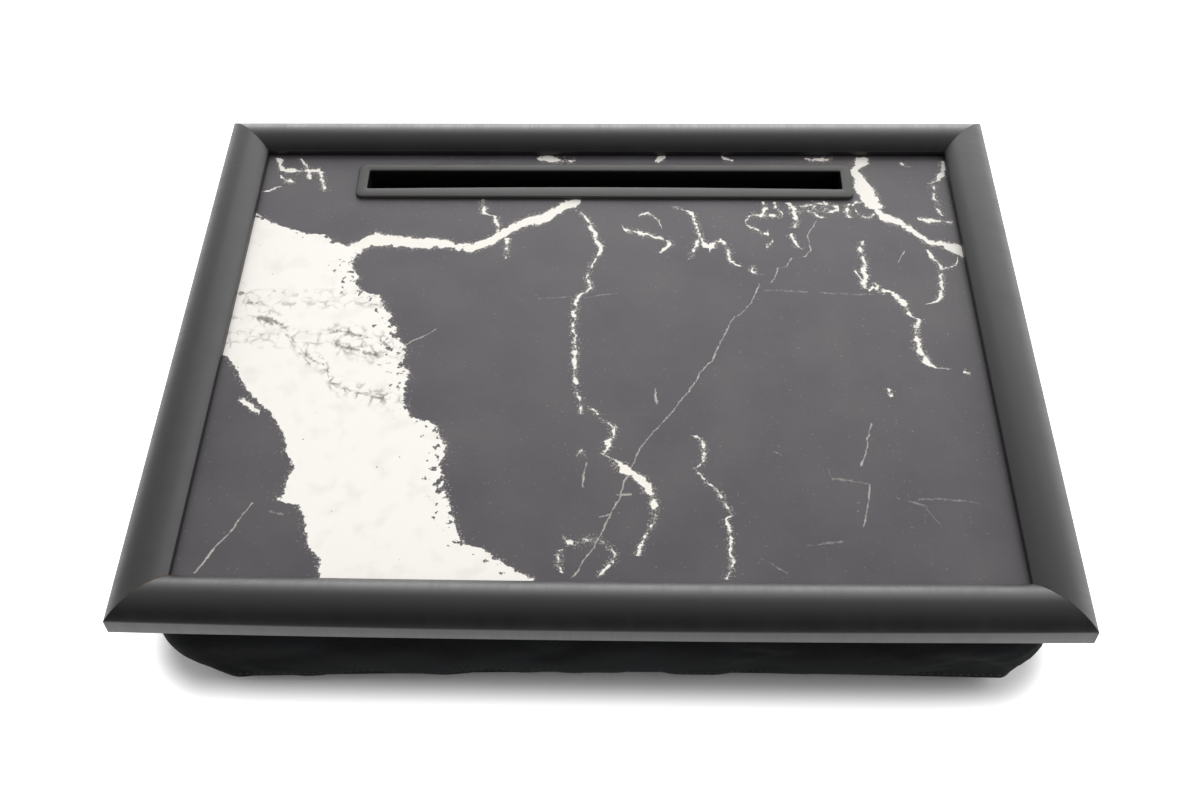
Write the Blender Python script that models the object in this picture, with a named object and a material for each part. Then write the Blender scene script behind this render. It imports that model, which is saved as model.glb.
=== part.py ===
"""Lap tray: a framed board with a marble decor and a tablet slot, carried on a bead cushion.

Metres, +Z up. X runs along the tray, Y from the user's side to the slot's side.
The origin is on the floor, under the middle of the frame.
"""

import math

import bmesh
import bpy

# Driving dimensions
frame_length = 0.430
frame_depth = 0.330
cushion_height = 0.0552
rail_width = 0.0242
crown_rise = 0.0057
panel_drop = 0.0030
slot_length = 0.263
slot_width = 0.0146
slot_depth = 0.0140

# Gaps that neighbours keep, and how far every cutter runs past what it cuts
seat_gap = 0.00025
overrun = 0.0020

# Rails: a foil-wrapped moulding with a crowned face, mitred at its ends
crown_step = 0.0005
crown_segments = 24
rebate_width = 0.0072
mitre_gap = 0.0002
smooth_angle = math.radians(20)

# Panel: a printed laminate on a fibreboard, let into the rebate from below
laminate_thickness = 0.0005
board_thickness = 0.0040
panel_clearance = 0.0006

# Slot insert: a moulded trough with a flange that lies on the panel
flange_length = 0.275
flange_width = 0.0265
flange_thickness = 0.00175
flange_corner = 0.0040
flange_edge_round = 0.0005
flange_back_margin = 0.0091
slot_back_lip = 0.0053
slot_bow = 0.0013
trough_wall = 0.0015
trough_clearance = 0.0003
catch_length = 0.0100
catch_reach = 0.0009
catch_height = 0.0022
catch_places_share = (-0.36, 0.0, 0.36)
bow_segments = 10
corner_segments = 5

# Vee nails across the mitres
vee_leg = 0.0050
vee_sheet = 0.0006
vee_height = 0.0070
vee_sunk = 0.0003
vee_half_angle = math.radians(55)
vee_insets = (0.0050, 0.0118)

# Framer's points that hold the panel up in the rebate
point_recess = 0.0006
point_thickness = 0.0005
point_width = 0.0060
point_bite = 0.0055
point_hold = 0.0080
point_tip = 0.0025

# Staples through the cushion's hem
staple_crown = 0.0100
staple_wire_height = 0.0006
staple_wire_width = 0.0010
staple_leg = 0.0085
staple_inset = 0.0118
staple_end_margin = 0.0360
staples_on_long_rail = 6
staples_on_short_rail = 4

# Cushion: outlines are insets from the frame's outer faces
cloth_thickness = 0.0008
hem_inset = 0.0070
hem_corner = 0.0160
neck_inset = 0.0170
neck_corner = 0.0140
belly_inset_left = 0.0145
belly_inset_right = 0.0105
belly_inset_front = 0.0055
belly_corner = 0.0190
belly_height = 0.0320
belly_pull = 0.0010
seam_inset_left = 0.0340
seam_inset_right = 0.0240
seam_inset_front = 0.0058
seam_corner_left = 0.0170
seam_corner_right = 0.0070
seam_height = 0.0090
seam_pull = 0.0040
bag_twist = math.radians(0.6)
base_tuck = 0.0140
tuck_start = math.radians(30)
crown_cut = 0.0005
outline_corner_segments = 5
outline_long_segments = 8
outline_short_segments = 6
outer_band_segments = 4
inner_band_segments = 2
filling_gap = 0.0003

# The rail's upright outer face is as high as the stack that its rebate holds
panel_stack = laminate_thickness + seat_gap + board_thickness + seat_gap + point_thickness
lip_height = panel_drop + panel_stack + point_recess

# Levels, from the floor up
rail_base_z = cushion_height
lip_top_z = rail_base_z + lip_height
panel_top_z = lip_top_z - panel_drop
ledge_z = panel_top_z + seat_gap
board_top_z = panel_top_z - laminate_thickness - seat_gap
board_base_z = board_top_z - board_thickness
point_top_z = board_base_z - seat_gap
flange_base_z = panel_top_z + seat_gap
flange_top_z = flange_base_z + flange_thickness
slot_floor_z = flange_top_z - slot_depth
trough_base_z = slot_floor_z - trough_wall
top_cloth_z = rail_base_z - seat_gap
hem_top_z = top_cloth_z - cloth_thickness - seat_gap
hem_base_z = hem_top_z - cloth_thickness
staple_top_z = hem_base_z - seat_gap

# Plan places
half_length = frame_length / 2
half_depth = frame_depth / 2
sight_half_depth = half_depth - rail_width
wall_inset = rail_width - rebate_width
panel_half_length = half_length - wall_inset - panel_clearance
panel_half_depth = half_depth - wall_inset - panel_clearance
flange_back_y = sight_half_depth - flange_back_margin
flange_front_y = flange_back_y - flange_width
slot_back_y = flange_back_y - slot_back_lip
slot_front_y = slot_back_y - slot_width
cutout_half_length = slot_length / 2 + trough_wall + trough_clearance
cutout_back_y = slot_back_y + trough_wall + trough_clearance
cutout_front_y = slot_front_y - trough_wall - trough_clearance

# The rails, each a quarter turn on from the one before, with their length, span and staples
long_rail = (frame_length, half_depth, staples_on_long_rail)
short_rail = (frame_depth, half_length, staples_on_short_rail)
rails = (("front", long_rail), ("right", short_rail), ("back", long_rail), ("left", short_rail))


def principled(name, colour, roughness, metallic=0.0):
    """A material with one Principled BSDF."""
    material = bpy.data.materials.new(name)
    material.use_nodes = True
    shader = material.node_tree.nodes["Principled BSDF"]
    shader.inputs["Base Color"].default_value = (*colour, 1.0)
    shader.inputs["Roughness"].default_value = roughness
    shader.inputs["Metallic"].default_value = metallic
    return material


def add_loft(bm, loops, split=False):
    """Adds one closed body through loops of points, with a flat cap at each end.

    Split quads all take the same diagonal, so that a cloth and its filling stay parallel.
    """
    rings = [[bm.verts.new(point) for point in loop] for loop in loops]
    for ring, following in zip(rings, rings[1:]):
        for i in range(len(ring)):
            j = (i + 1) % len(ring)
            if not split:
                bm.faces.new((ring[i], ring[j], following[j], following[i]))
                continue
            low, high = sorted((ring, following), key=lambda loop: loop[i].co.z)
            bm.faces.new((low[i], low[j], high[j]))
            bm.faces.new((low[i], high[j], high[i]))
    bm.faces.new(reversed(rings[0]))
    bm.faces.new(rings[-1])


def add_prism(bm, outline, low, high):
    """Adds an upright prism on an outline in plan."""
    add_loft(bm, [[(x, y, z) for x, y in outline] for z in (low, high)])


def finished(name, bm, material=None, smooth=False):
    """Turns a bmesh into a named object in the scene."""
    bmesh.ops.recalc_face_normals(bm, faces=bm.faces)
    mesh = bpy.data.meshes.new(name)
    bm.to_mesh(mesh)
    bm.free()
    if material:
        mesh.materials.append(material)
    if smooth:
        mesh.shade_smooth()
        mesh.set_sharp_from_angle(angle=smooth_angle)
    item = bpy.data.objects.new(name, mesh)
    bpy.context.collection.objects.link(item)
    return item


def cutter(name, bm):
    """A guide that only cuts: it stays out of the finished part."""
    item = finished(name, bm)
    item.hide_render = True
    item.display_type = "WIRE"
    return item


def combine(item, other, operation):
    """Leaves a Boolean on an object."""
    boolean = item.modifiers.new(f"{operation.lower()} {other.name}", "BOOLEAN")
    boolean.operation = operation
    boolean.solver = "EXACT"
    boolean.object = other


def rectangle(left, right, front, back):
    """The four corners of a rectangle in plan."""
    return [(left, front), (right, front), (right, back), (left, back)]


def turned(x, y, quarters):
    """A point in plan after quarter turns about the tray's middle."""
    for _ in range(quarters):
        x, y = -y, x
    return x, y


def spread(count, length):
    """Evenly spaced places over a length, centred on zero."""
    return [length * (i / (count - 1) - 0.5) for i in range(count)]


def staple_places(length, count):
    """Where the staples sit along a rail."""
    return spread(count, length - 2 * staple_end_margin)


def point_places(length, count):
    """Where the framer's points sit: in every other gap between staples."""
    places = staple_places(length, count)
    return [(places[i] + places[i + 1]) / 2 for i in range(0, count - 1, 2)]


def rail_profile():
    """The moulding's section, as inset from its outer face and height."""
    half_chord = rail_width / 2
    radius = (half_chord**2 + crown_rise**2) / (2 * crown_rise)
    half_angle = math.asin(half_chord / radius)
    profile = [(0, rail_base_z)]
    for i in range(crown_segments + 1):
        share = i / crown_segments
        angle = half_angle * (2 * share - 1)
        inset = half_chord + radius * math.sin(angle)
        rise = radius * (math.cos(angle) - math.cos(half_angle))
        profile.append((inset, lip_top_z + rise + crown_step * share))
    profile += [(rail_width, ledge_z), (wall_inset, ledge_z), (wall_inset, rail_base_z)]
    return profile


def make_rail(name, quarters, length, span, material):
    """One rail, with a mitre at each end that clears its neighbour."""
    mitre_clear = mitre_gap / math.sqrt(2)
    loops = []
    for end in (-1, 1):
        loop = []
        for inset, height in rail_profile():
            reach = length / 2 - inset - mitre_clear
            loop.append((end * reach, inset - span, height))
        loops.append(loop)
    bm = bmesh.new()
    add_loft(bm, loops)
    rail = finished(name, bm, material, smooth=True)
    rail.rotation_euler.z = quarters * math.pi / 2
    return rail


def vee_outline(grow):
    """A vee nail in plan, its apex towards the frame's corner."""
    half = vee_sheet / 2 + grow
    leg = vee_leg + grow
    along, across = math.cos(vee_half_angle), math.sin(vee_half_angle)
    apex = half / across
    tip_x, tip_y = -leg * along, leg * across
    shift_x, shift_y = half * across, half * along
    return [
        (apex, 0),
        (tip_x + shift_x, tip_y + shift_y),
        (tip_x - shift_x, tip_y - shift_y),
        (-apex, 0),
        (tip_x - shift_x, shift_y - tip_y),
        (tip_x + shift_x, -tip_y - shift_y),
    ]


def vee_places():
    """Name, place and turn of each vee nail."""
    places = []
    corners = (
        ("front_left", -1, -1), ("front_right", 1, -1),
        ("back_right", 1, 1), ("back_left", -1, 1),
    )
    for corner, side_x, side_y in corners:
        for order, inset in zip(("outer", "inner"), vee_insets):
            x = side_x * (half_length - inset)
            y = side_y * (half_depth - inset)
            places.append((f"vee_nail_{corner}_{order}", x, y, math.atan2(side_y, side_x)))
    return places


def point_outline(grow):
    """A framer's point in plan: a tab with a pointed end driven into the rebate's wall."""
    half = point_width / 2 + grow
    neck = point_tip - point_bite
    return [
        (-half, point_hold + grow),
        (-half, neck),
        (0, -point_bite - grow),
        (half, neck),
        (half, point_hold + grow),
    ]


def point_stands():
    """Name, place and turn of each framer's point."""
    stands = []
    for quarters, (side, (length, span, count)) in enumerate(rails):
        for number, along in enumerate(point_places(length, count), 1):
            x, y = turned(along, wall_inset - span, quarters)
            stands.append((f"framers_point_{side}_{number}", x, y, quarters * math.pi / 2))
    return stands


def staple_stands():
    """Name, place and turn of each staple."""
    stands = []
    for quarters, (side, (length, span, count)) in enumerate(rails):
        for number, along in enumerate(staple_places(length, count), 1):
            x, y = turned(along, staple_inset - span, quarters)
            stands.append((f"staple_{side}_{number}", x, y, quarters * math.pi / 2))
    return stands


def placed(outline, x, y, turn):
    """An outline in plan, turned and moved."""
    cos, sin = math.cos(turn), math.sin(turn)
    return [(x + px * cos - py * sin, y + px * sin + py * cos) for px, py in outline]


def leg_outlines(grow):
    """The two legs of a staple in plan."""
    outlines = []
    for side in (-1, 1):
        middle = side * (staple_crown - staple_wire_height) / 2
        half_x = staple_wire_height / 2 + grow
        half_y = staple_wire_width / 2 + grow
        outlines.append(rectangle(middle - half_x, middle + half_x, -half_y, half_y))
    return outlines


def make_fastener_cuts():
    """Slots and holes in the rails for vee nails, framer's points and staple legs."""
    bm = bmesh.new()
    vee_top = rail_base_z + vee_sunk + vee_height + seat_gap
    for _, x, y, turn in vee_places():
        add_prism(bm, placed(vee_outline(seat_gap), x, y, turn), rail_base_z - overrun, vee_top)
    point_low = point_top_z - point_thickness - seat_gap
    for _, x, y, turn in point_stands():
        add_prism(bm, placed(point_outline(seat_gap), x, y, turn), point_low, point_top_z + seat_gap)
    leg_top = staple_top_z + staple_leg + seat_gap
    for _, x, y, turn in staple_stands():
        for leg in leg_outlines(seat_gap):
            add_prism(bm, placed(leg, x, y, turn), rail_base_z - overrun, leg_top)
    return cutter("fastener_cuts", bm)


def make_leg_holes(low, high):
    """Holes for staple legs through cloth between two levels."""
    bm = bmesh.new()
    for _, x, y, turn in staple_stands():
        for leg in leg_outlines(seat_gap):
            add_prism(bm, placed(leg, x, y, turn), low, high)
    return cutter("leg_holes", bm)


def make_frame(material):
    """The four mitred rails, cut for their fasteners."""
    cuts = make_fastener_cuts()
    for quarters, (side, (length, span, _)) in enumerate(rails):
        rail = make_rail(f"frame_rail_{side}", quarters, length, span, material)
        combine(rail, cuts, "DIFFERENCE")


def make_vee_nails(material):
    """Two bent steel strips pressed up across each mitre."""
    low = rail_base_z + vee_sunk
    bm = bmesh.new()
    add_prism(bm, vee_outline(0), low, low + vee_height)
    pattern = finished("vee_nail", bm, material)
    repeat(pattern, vee_places())


def make_framers_points(material):
    """Flat steel tabs in the rebate's wall, under the panel's edge."""
    bm = bmesh.new()
    add_prism(bm, point_outline(0), point_top_z - point_thickness, point_top_z)
    pattern = finished("framers_point", bm, material)
    repeat(pattern, point_stands())


def make_staples(material):
    """Steel staples driven up through the hem into the rails."""
    low = staple_top_z - staple_wire_height
    high = staple_top_z + staple_leg
    outer = staple_crown / 2
    inner = outer - staple_wire_height
    section = [
        (-outer, high), (-outer, low), (outer, low), (outer, high),
        (inner, high), (inner, staple_top_z), (-inner, staple_top_z), (-inner, high),
    ]
    half = staple_wire_width / 2
    bm = bmesh.new()
    add_loft(bm, [[(x, y, z) for x, z in section] for y in (-half, half)])
    pattern = finished("staple", bm, material)
    repeat(pattern, staple_stands())


def repeat(pattern, stands):
    """Puts a copy of a fastener at each stand, all sharing one mesh."""
    for name, x, y, turn in stands:
        copy = bpy.data.objects.new(name, pattern.data)
        copy.location = (x, y, 0)
        copy.rotation_euler.z = turn
        bpy.context.collection.objects.link(copy)
    bpy.data.objects.remove(pattern)


def slotted_sheet(name, low, high, material):
    """A flat sheet that fills the rebate, with the slot's cut-out."""
    xs = [-panel_half_length, -cutout_half_length, cutout_half_length, panel_half_length]
    ys = [-panel_half_depth, cutout_front_y, cutout_back_y, panel_half_depth]
    open_cell = (xs.index(-cutout_half_length), ys.index(cutout_front_y))
    bm = bmesh.new()
    grid = {(i, j): bm.verts.new((x, y, low)) for i, x in enumerate(xs) for j, y in enumerate(ys)}
    for i in range(len(xs) - 1):
        for j in range(len(ys) - 1):
            if (i, j) != open_cell:
                bm.faces.new((grid[i, j], grid[i, j + 1], grid[i + 1, j + 1], grid[i + 1, j]))
    sheet = bmesh.ops.extrude_face_region(bm, geom=bm.faces[:])
    raised = [item for item in sheet["geom"] if isinstance(item, bmesh.types.BMVert)]
    bmesh.ops.translate(bm, verts=raised, vec=(0, 0, high - low))
    return finished(name, bm, material)


def slot_outline(grow):
    """The slot in plan, its front side bowed towards the back, grown by a wall or a gap."""
    half = slot_length / 2 + grow
    front, back = slot_front_y - grow, slot_back_y + grow
    outline = []
    for i in range(bow_segments + 1):
        share = i / bow_segments
        x = half * (2 * share - 1)
        outline.append((x, front + slot_bow * math.sin(math.pi * share)))
    return outline + [(half, back), (-half, back)]


def round_rectangle(left, right, front, back, radius, segments):
    """A rectangle in plan with round corners."""
    outline = []
    centres = ((right, front, -1), (right, back, 0), (left, back, 1), (left, front, 2))
    for x, y, quarter in centres:
        inward_x = -radius if x == right else radius
        inward_y = radius if y == front else -radius
        for i in range(segments + 1):
            angle = (quarter + i / segments) * math.pi / 2
            outline.append(
                (x + inward_x + radius * math.cos(angle), y + inward_y + radius * math.sin(angle))
            )
    return outline


def make_insert(material):
    """The slot insert: flange, trough and the catches that hook under the board."""
    half = flange_length / 2
    bm = bmesh.new()
    round_z = flange_top_z - flange_edge_round
    loops = []
    for inset, height in ((0, flange_base_z), (0, round_z), (flange_edge_round, flange_top_z)):
        plan = round_rectangle(
            inset - half, half - inset, flange_front_y + inset, flange_back_y - inset,
            flange_corner - inset, corner_segments,
        )
        loops.append([(x, y, height) for x, y in plan])
    add_loft(bm, loops)
    insert = finished("tablet_slot_insert", bm, material)

    bm = bmesh.new()
    add_prism(bm, slot_outline(trough_wall), trough_base_z, round_z)
    trough = cutter("trough_block", bm)

    bm = bmesh.new()
    catch_top_z = board_base_z - seat_gap
    for share in catch_places_share:
        middle = share * slot_length
        ends = (middle - catch_length / 2, middle + catch_length / 2)
        for wall_y, out in ((slot_back_y + trough_wall, 1), (catch_front_y(middle), -1)):
            inside = wall_y - out * trough_wall / 2
            section = [
                (inside, catch_top_z), (wall_y + out * catch_reach, catch_top_z),
                (wall_y, catch_top_z - catch_height), (inside, catch_top_z - catch_height),
            ]
            add_loft(bm, [[(x, y, z) for y, z in section] for x in ends])
    catches = cutter("catch_wedges", bm)

    bm = bmesh.new()
    add_prism(bm, slot_outline(0), slot_floor_z, flange_top_z + overrun)
    cavity = cutter("slot_cavity", bm)

    combine(insert, trough, "UNION")
    combine(insert, catches, "UNION")
    combine(insert, cavity, "DIFFERENCE")


def catch_front_y(x):
    """Where the trough's bowed front wall has its outer face."""
    share = x / (slot_length + 2 * trough_wall) + 0.5
    return slot_front_y - trough_wall + slot_bow * math.sin(math.pi * share)


def cushion_loop(left, right, front, back, corner_left, corner_right, pull, twist, height):
    """Points round a cushion at one level, its sides drawn in between the corners."""
    corners = (
        (right - corner_right, corner_right - front, corner_right, -1, outline_short_segments),
        (right - corner_right, back - corner_right, corner_right, 0, outline_long_segments),
        (corner_left - left, back - corner_left, corner_left, 1, outline_short_segments),
        (corner_left - left, corner_left - front, corner_left, 2, outline_long_segments),
    )
    arcs = []
    for x, y, radius, quarter, _ in corners:
        arc = []
        for i in range(outline_corner_segments + 1):
            angle = (quarter + i / outline_corner_segments) * math.pi / 2
            arc.append((x + radius * math.cos(angle), y + radius * math.sin(angle)))
        arcs.append(arc)
    loop = []
    for number, (_, _, _, quarter, segments) in enumerate(corners):
        loop += arcs[number]
        (x0, y0), (x1, y1) = arcs[number][-1], arcs[(number + 1) % len(arcs)][0]
        out_x, out_y = turned(1, 0, quarter + 1)
        for i in range(1, segments):
            share = i / segments
            sink = pull * math.sin(math.pi * share)
            loop.append((x0 + (x1 - x0) * share - out_x * sink, y0 + (y1 - y0) * share - out_y * sink))
    return [(x, y + x * math.tan(twist), height) for x, y in loop]


def cushion_section(inset, segments):
    """The cushion's levels from its neck to its base, each as the arguments of cushion_loop."""
    neck = (half_length - neck_inset,) * 2 + (half_depth - neck_inset,) * 2
    neck += (neck_corner, neck_corner, 0, 0)
    belly = (half_length - belly_inset_left, half_length - belly_inset_right)
    belly += (half_depth - belly_inset_front,) * 2
    belly += (belly_corner, belly_corner, belly_pull, bag_twist / 2)
    seam = (half_length - seam_inset_left, half_length - seam_inset_right)
    seam += (half_depth - seam_inset_front,) * 2
    seam += (seam_corner_left, seam_corner_right, seam_pull, bag_twist)
    base = tuple(size - base_tuck for size in seam[:4]) + seam[4:]
    stops = (
        (neck, belly, hem_base_z, belly_height, quick_start),
        (belly, seam, belly_height, seam_height, quick_end),
        (seam, base, seam_height, 0, tuck_under),
    )
    levels = []
    for upper, lower, high, low, ease in stops:
        for i in range(segments + 1):
            if levels and i == 0:
                continue
            outward, downward = ease(i / segments)
            sizes = [a + (b - a) * outward for a, b in zip(upper, lower)]
            sizes = [size - inset for size in sizes[:4]] + sizes[4:]
            height = high + (low - high) * downward
            levels.append((*sizes, max(height, inset)))
    return levels


def quick_start(share):
    """Swells fast below the neck and levels out at the belly."""
    return math.sin(share * math.pi / 2), share


def quick_end(share):
    """Leaves the belly slowly and turns in towards the seam."""
    return 1 - math.cos(share * math.pi / 2), share


def tuck_under(share):
    """Rolls from the seam round to the flat the cushion rests on, its crown cut off there."""
    end = math.asin(seam_height / (seam_height + crown_cut))
    turn = tuck_start + share * (end - tuck_start)
    outward = (math.cos(tuck_start) - math.cos(turn)) / (math.cos(tuck_start) - math.cos(end))
    downward = (math.sin(turn) - math.sin(tuck_start)) / (math.sin(end) - math.sin(tuck_start))
    return outward, downward


def make_cushion_cover(material):
    """The sewn cover: an open bag with a hem that lies flat under the rails."""
    inner = [cushion_loop(*level) for level in cushion_section(cloth_thickness, inner_band_segments)]
    outer = [cushion_loop(*level) for level in cushion_section(0, outer_band_segments)]
    hem_sizes = (half_length - hem_inset,) * 2 + (half_depth - hem_inset,) * 2
    hem_sizes += (hem_corner, hem_corner, 0, 0)
    inner_neck = [(x, y, hem_top_z) for x, y, _ in inner[0]]
    hem = [cushion_loop(*hem_sizes, height) for height in (hem_top_z, hem_base_z)]
    bm = bmesh.new()
    add_loft(bm, inner[:0:-1] + [inner_neck] + hem + outer, split=True)
    cover = finished("cushion_cover", bm, material, smooth=True)
    combine(cover, make_leg_holes(staple_top_z, hem_top_z + seat_gap), "DIFFERENCE")


def pocket_block(name, margin, low, high):
    """A block round the trough, grown by a margin."""
    half = cutout_half_length + margin
    bm = bmesh.new()
    add_prism(bm, rectangle(-half, half, cutout_front_y - margin, cutout_back_y + margin), low, high)
    return cutter(name, bm)


def make_top_cloth(material):
    """The cloth that closes the bag under the board, sunk into a pocket round the trough."""
    low = top_cloth_z - cloth_thickness
    sizes = (half_length - hem_inset,) * 2 + (half_depth - hem_inset,) * 2
    sizes += (hem_corner, hem_corner, 0, 0)
    bm = bmesh.new()
    add_loft(bm, [cushion_loop(*sizes, height) for height in (low, top_cloth_z)])
    cloth = finished("cushion_top_cloth", bm, material)
    pocket_floor_z = trough_base_z - seat_gap
    outside = pocket_block(
        "pocket_outside", catch_reach + cloth_thickness,
        pocket_floor_z - cloth_thickness, low + cloth_thickness / 2,
    )
    inside = pocket_block("pocket_inside", catch_reach, pocket_floor_z, top_cloth_z + overrun)
    combine(cloth, outside, "UNION")
    combine(cloth, inside, "DIFFERENCE")
    combine(cloth, make_leg_holes(low - seat_gap, top_cloth_z + seat_gap), "DIFFERENCE")


def make_filling(material):
    """The mass of beads that fills the bag."""
    gap = cloth_thickness + filling_gap
    levels = [cushion_loop(*level) for level in cushion_section(gap, inner_band_segments)]
    top = [(x, y, hem_top_z) for x, y, _ in levels[0]]
    bm = bmesh.new()
    add_loft(bm, [top] + levels[1:], split=True)
    filling = finished("bead_filling", bm, material, smooth=True)
    margin = catch_reach + cloth_thickness + filling_gap
    pocket_floor_z = trough_base_z - seat_gap - cloth_thickness
    recess = pocket_block("filling_recess", margin, pocket_floor_z - filling_gap, hem_top_z + overrun)
    combine(filling, recess, "DIFFERENCE")


for item in list(bpy.data.objects):
    bpy.data.objects.remove(item)

steel = principled("galvanised_steel", (0.55, 0.56, 0.57), 0.35, 1.0)
make_frame(principled("black_foil_moulding", (0.012, 0.012, 0.013), 0.35))
make_vee_nails(steel)
make_framers_points(steel)
make_staples(steel)
slotted_sheet(
    "marble_laminate", panel_top_z - laminate_thickness, panel_top_z,
    principled("marble_decor", (0.13, 0.12, 0.125), 0.45),
)
slotted_sheet(
    "tray_board", board_base_z, board_top_z,
    principled("fibreboard", (0.30, 0.20, 0.12), 0.80),
)
make_insert(principled("black_moulded_plastic", (0.020, 0.019, 0.018), 0.45))
make_cushion_cover(principled("charcoal_cloth", (0.010, 0.011, 0.013), 0.90))
make_top_cloth(principled("lining_cloth", (0.015, 0.015, 0.017), 0.90))
make_filling(principled("foam_beads", (0.85, 0.85, 0.83), 0.70))
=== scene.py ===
"""Looks of a lap tray: a mitred black frame round a marble decor, a tablet slot and a bead cushion."""
import math

import bmesh
import bpy
from mathutils import Matrix, Vector, noise
from mathutils.bvhtree import BVHTree


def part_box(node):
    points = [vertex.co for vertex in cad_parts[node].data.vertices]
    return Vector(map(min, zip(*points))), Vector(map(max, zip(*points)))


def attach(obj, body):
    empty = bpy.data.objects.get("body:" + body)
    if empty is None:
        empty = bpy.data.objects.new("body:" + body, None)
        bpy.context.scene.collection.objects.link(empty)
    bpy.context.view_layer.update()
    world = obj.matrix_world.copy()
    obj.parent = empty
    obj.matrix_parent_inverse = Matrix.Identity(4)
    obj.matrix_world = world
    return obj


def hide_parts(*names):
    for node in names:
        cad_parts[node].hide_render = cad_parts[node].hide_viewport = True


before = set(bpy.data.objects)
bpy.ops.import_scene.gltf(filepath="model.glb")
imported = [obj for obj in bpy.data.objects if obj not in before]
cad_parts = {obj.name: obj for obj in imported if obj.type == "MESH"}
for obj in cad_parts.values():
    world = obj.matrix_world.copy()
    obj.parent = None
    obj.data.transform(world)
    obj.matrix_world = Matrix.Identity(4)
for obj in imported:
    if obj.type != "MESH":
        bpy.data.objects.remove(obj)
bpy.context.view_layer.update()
mm = 0.001

# Frame. Four lengths of wood-fibre moulding with a crowned face, wrapped in black brushed foil, sawn at
# 45 degrees and pulled together at the mitres. The foil ends a few millimetres in under each rail, and
# from there the bare fibre shows. The front rail has bowed out and rolled forward a little at mid-length.
rail_low, rail_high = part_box("frame_rail_front")
panel_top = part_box("marble_laminate")[1].z
half_length = rail_high.x
half_depth = -rail_low.y
rail_width = rail_high.y - rail_low.y
rail_base = rail_low.z
lip_height = 9.1 * mm
crown_step = 0.5 * mm
rebate_width = 7.2 * mm
clearance = 0.25 * mm
ledge_z = panel_top + clearance
mitre_gap = 0.12 * mm
outer_arris, inner_arris, lower_arris = 0.35 * mm, 0.4 * mm, 0.5 * mm
foil_return = 5.5 * mm
crown_steps, arris_steps, length_steps = 36, 3, 28
front_bow, front_roll = 1.4 * mm, 1.2 * mm
# Each rail's streaks start this many metres on from the last one's, so that no two rails look alike.
streak_shift = 1.7


def linear(code):
    """A colour written as an sRGB hex code, as linear red, green, blue and alpha."""
    channels = [int(code[i:i + 2], 16) / 255 for i in (1, 3, 5)]
    return tuple(c / 12.92 if c <= 0.04045 else ((c + 0.055) / 1.055) ** 2.4 for c in channels) + (1.0,)


def add(tree, kind, inputs=(), points=(), to=None, **settings):
    """Adds a node with its settings, curve points, and inputs by name or in order, and gives its output."""
    made = tree.nodes.new("ShaderNode" + kind)
    for name, value in settings.items():
        setattr(made, name, value)
    for name, value in inputs.items() if isinstance(inputs, dict) else enumerate(inputs):
        if isinstance(value, bpy.types.NodeSocket):
            tree.links.new(value, made.inputs[name])
        else:
            made.inputs[name].default_value = value
    for number, place in enumerate(points):
        line = made.mapping.curves[0].points
        point = line[number] if number < len(line) else line.new(*place)
        point.location = place
        point.handle_type = "VECTOR"
    if points:
        made.mapping.update()
    result = next(output for output in made.outputs if output.enabled)
    if to:
        tree.links.new(result, to)
    return result


def new_finish(name, **values):
    """A new material with its node tree and shader, the shader's even values set."""
    material = bpy.data.materials.new(name)
    material.use_nodes = True
    shader = material.node_tree.nodes["Principled BSDF"]
    for socket, value in values.items():
        shader.inputs[socket.replace("_", " ")].default_value = value
    return material, material.node_tree, shader


def softened(corners, steps):
    """An outline whose corners, given as (place, height, reach), are rounded off along their sides."""
    outline = []
    for i, (a, b, reach) in enumerate(corners):
        corner = Vector((a, b))
        if not reach:
            outline.append(corner)
            continue
        start = corner + (Vector(corners[i - 1][:2]) - corner).normalized() * reach
        end = corner + (Vector(corners[(i + 1) % len(corners)][:2]) - corner).normalized() * reach
        for step in range(steps + 1):
            t = step / steps
            outline.append(start * (1 - t) ** 2 + corner * 2 * t * (1 - t) + end * t**2)
    return outline


def placed(name, bm, materials=()):
    """Puts a bmesh into the scene as an object with the given materials."""
    mesh = bpy.data.meshes.new(name)
    bm.to_mesh(mesh)
    bm.free()
    for material in materials:
        mesh.materials.append(material)
    made = bpy.data.objects.new(name, mesh)
    bpy.context.collection.objects.link(made)
    return made


def shown(name, bm, materials, sharp_degrees=35):
    """Puts a bmesh into the scene as a smooth-shaded piece that rides with the tray."""
    bmesh.ops.recalc_face_normals(bm, faces=bm.faces)
    piece = placed(name, bm, materials)
    piece.data.shade_smooth()
    piece.data.set_sharp_from_angle(angle=math.radians(sharp_degrees))
    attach(piece, "root")
    return piece


def moulding_section():
    """The rail's section, as (inset from the outer face, height)."""
    half_chord = rail_width / 2
    rise = rail_high.z - rail_base - lip_height - crown_step / 2
    radius = (half_chord**2 + rise**2) / (2 * rise)
    half_angle = math.asin(half_chord / radius)
    lip_z = rail_base + lip_height
    corners = [(0, rail_base, lower_arris), (0, lip_z, outer_arris)]
    for i in range(1, crown_steps):
        share = i / crown_steps
        angle = half_angle * (2 * share - 1)
        height = lip_z + radius * (math.cos(angle) - math.cos(half_angle)) + crown_step * share
        corners.append((half_chord + radius * math.sin(angle), height, 0))
    corners.append((rail_width, lip_z + crown_step, inner_arris))
    wall = rail_width - rebate_width
    corners += [(rail_width, ledge_z, 0), (wall, ledge_z, 0), (wall, rail_base, 0)]
    corners.append((foil_return, rail_base, 0))
    return softened(corners, arris_steps)


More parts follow.
